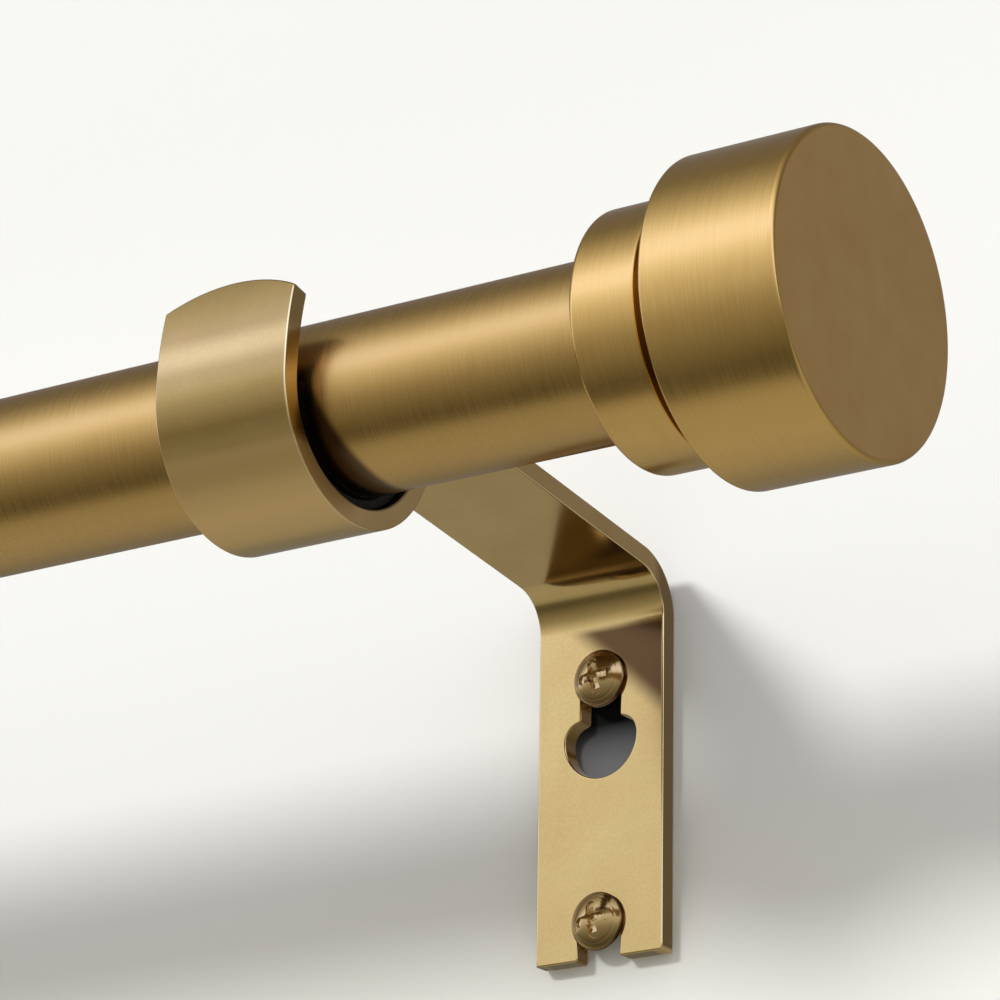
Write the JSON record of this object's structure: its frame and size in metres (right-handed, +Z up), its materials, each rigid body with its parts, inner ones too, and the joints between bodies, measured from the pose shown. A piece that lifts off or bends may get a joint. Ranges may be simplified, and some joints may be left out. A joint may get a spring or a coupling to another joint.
{
  "type": "extendable curtain rod",
  "caption": "Telescopic curtain rod with round end caps, resting in folded strip brackets that screw to a wall.",
  "frame": {"origin": "on the flat back of the right bracket's plate, at mid width, between its keyhole and its notch, 42 mm below the rod's axis", "axes": "+X along the rod towards the thick tube's end cap, +Y into the wall, +Z up"},
  "size_m": [0.8502, 0.137, 0.0829],
  "materials": {
    "brushed_brass": "brushed round the axis, satin antique brass",
    "satin_brass": "fine satin, plated flat strip",
    "polished_brass": "plated and polished",
    "black_rubber": "matt",
    "nylon": "natural, moulded",
    "zinc_steel": "zinc plated"
  },
  "bodies": {
    "thick_half": {"outer_tube": "brushed_brass", "mouth_ring": "nylon", "cap_collar_right": "brushed_brass", "end_cap_right": "brushed_brass", "cap_plug_right": "nylon", "cap_stud_right": "zinc_steel", "bracket_right": "satin_brass", "cradle_pad_right": "black_rubber", "wall_screws_right": "polished_brass"},
    "thin_half": {"inner_tube": "brushed_brass", "inner_glide": "nylon", "cap_collar_left": "brushed_brass", "end_cap_left": "brushed_brass", "cap_plug_left": "nylon", "cap_stud_left": "zinc_steel", "bracket_left": "satin_brass", "cradle_pad_left": "black_rubber", "wall_screws_left": "polished_brass"}
  },
  "joints": [
    {"name": "extension", "type": "slide", "parent": "thick_half", "child": "thin_half", "axis": [-1, 0, 0], "range_m": [-0.08, 0.42]}
  ]
}
